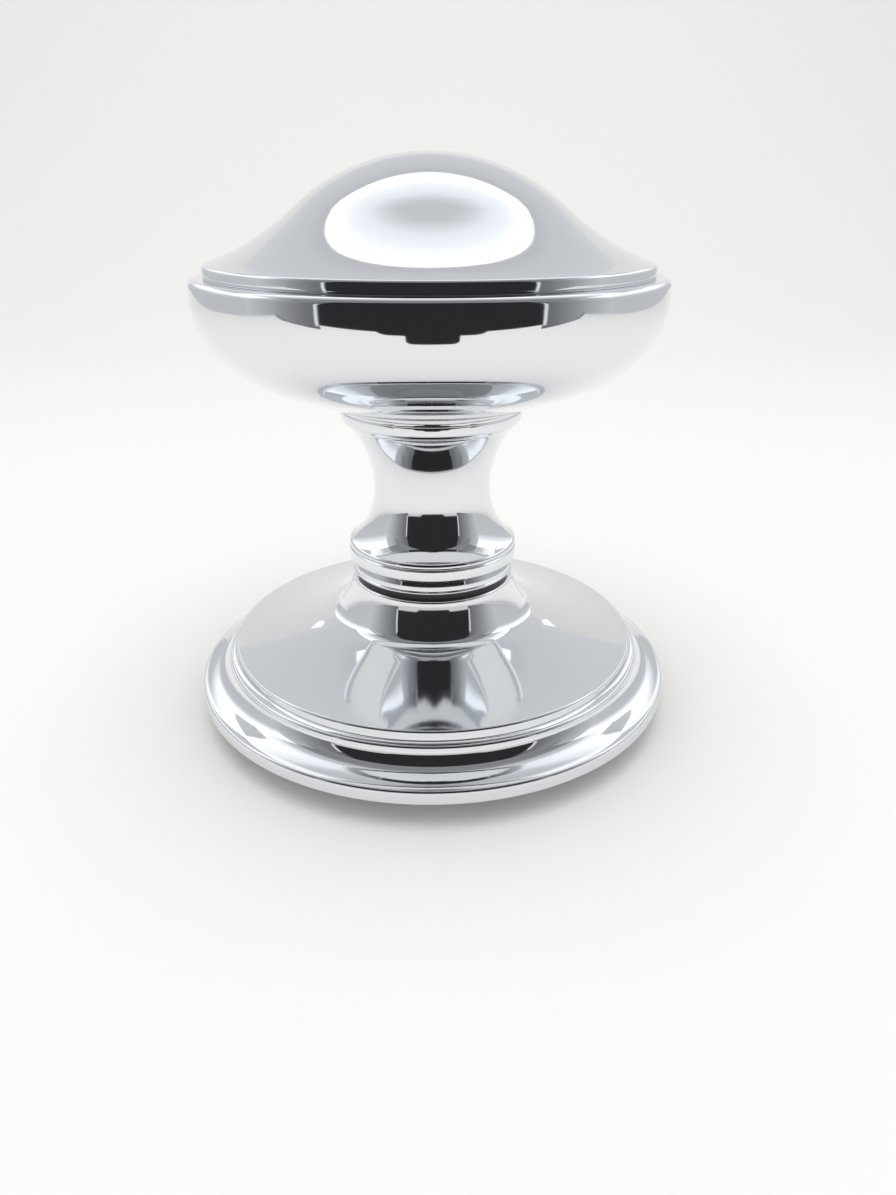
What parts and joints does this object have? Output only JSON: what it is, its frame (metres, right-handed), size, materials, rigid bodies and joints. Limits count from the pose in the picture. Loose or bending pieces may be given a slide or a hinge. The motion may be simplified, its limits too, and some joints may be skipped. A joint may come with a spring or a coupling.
{
  "type": "door knob",
  "caption": "Turning door knob: domed head on a waisted neck, sprung in a large stepped round rose, with a square spindle socket at the back.",
  "frame": {"origin": "middle of the spring case's back face, the face the knob stands on", "axes": "+Z along the spindle, from the door towards the room; the grub screw is on the +Y side"},
  "size_m": [0.092, 0.092, 0.0989],
  "materials": {
    "polished_chrome": "mirror polished chromium plate on brass",
    "zinc_steel": "bright zinc plated steel, faint rolling marks",
    "bright_steel": "turned bright steel",
    "dark_steel": "black oxide on hardened steel",
    "spring_steel": "oil tempered spring wire",
    "white_nylon": "natural moulded nylon",
    "black_nylon": "black moulded nylon"
  },
  "bodies": {
    "rose": {"rose_cover": "polished_chrome", "mounting_plate": "zinc_steel", "rose_clip_ring": "spring_steel", "spring_case": "zinc_steel", "stop_pins": "bright_steel", "spring_post": "bright_steel", "case_rivets": "bright_steel", "case_cover": "zinc_steel", "cover_screws": "dark_steel", "bearing_bush": "white_nylon", "thrust_washer": "bright_steel", "cam_washer": "bright_steel", "hub_ring": "black_nylon", "return_spring": "spring_steel"},
    "knob": {"crown": "polished_chrome", "bowl": "polished_chrome", "neck": "polished_chrome", "tie_screw": "zinc_steel", "lock_washer": "zinc_steel", "bowl_dowels": "bright_steel", "spindle_sleeve": "bright_steel", "grub_screw": "dark_steel", "drive_cam": "zinc_steel", "retaining_ring": "dark_steel"}
  },
  "joints": [
    {"name": "knob_turn", "type": "hinge", "parent": "rose", "child": "knob", "pos_m": [0, 0, 0.02], "axis": [0, 0, 1], "range_deg": [-50, 50], "stiffness_Nm_per_rad": 0.4, "deforming": ["return_spring"]}
  ]
}
